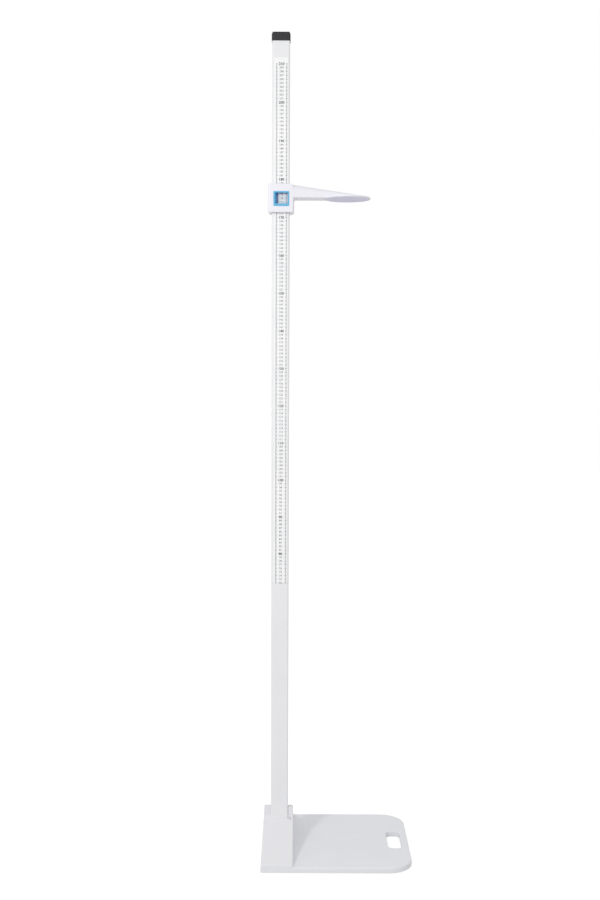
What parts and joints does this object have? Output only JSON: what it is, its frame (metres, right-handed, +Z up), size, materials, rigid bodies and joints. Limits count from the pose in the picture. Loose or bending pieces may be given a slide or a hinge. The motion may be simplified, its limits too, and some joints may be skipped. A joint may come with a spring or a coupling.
{
  "type": "portable stadiometer",
  "caption": "Free-standing height measuring rod: flared platform with a hand hole, plug-together column with a printed centimetre scale, and a sliding head plate with a reading window.",
  "frame": {"origin": "middle of the platform's footprint, on the floor under its rubber feet", "axes": "+Z up along the column, +X from the column to the platform's front edge with the hand hole, the scale faces -Y"},
  "size_m": [0.402, 0.366, 2.1985],
  "materials": {
    "white_platform": "fine moulded grain",
    "white_foot": "fine moulded grain",
    "white_slide": "satin moulded",
    "lilac_plate": "satin moulded",
    "coated_column": "white powder coat",
    "bare_aluminium": "mill finish",
    "scale_film": "printed film",
    "black_cap": "fine moulded grain",
    "blue_bezel": "gloss",
    "grey_rubber": "matte",
    "dark_rubber": "matte",
    "nylon": "natural nylon",
    "white_screw": "white lacquer",
    "spring_steel": "bright",
    "zinc_steel": "zinc plated"
  },
  "bodies": {
    "base": {"base_plate": "white_platform", "rubber_feet": "grey_rubber", "column_foot": "white_foot", "socket_sleeve": "bare_aluminium", "foot_screws": "white_screw", "base_screws": "zinc_steel", "column_lower": "coated_column", "column_middle": "coated_column", "column_upper": "coated_column", "joiner_lower": "bare_aluminium", "joiner_upper": "bare_aluminium", "joiner_screws": "zinc_steel", "scale_middle": "scale_film", "scale_upper": "scale_film", "top_cap": "black_cap"},
    "slider": {"slider_shell": "white_slide", "slider_back": "white_slide", "window_bezel": "blue_bezel", "arm_base": "white_slide", "head_plate": "lilac_plate", "glide_upper": "nylon", "glide_lower": "nylon", "brake_spring": "spring_steel", "brake_pad": "dark_rubber", "slider_screws": "zinc_steel"}
  },
  "joints": [
    {"name": "head_slide", "type": "slide", "parent": "base", "child": "slider", "axis": [0, 0, 1], "range_m": [-1.616, 0.371]}
  ]
}
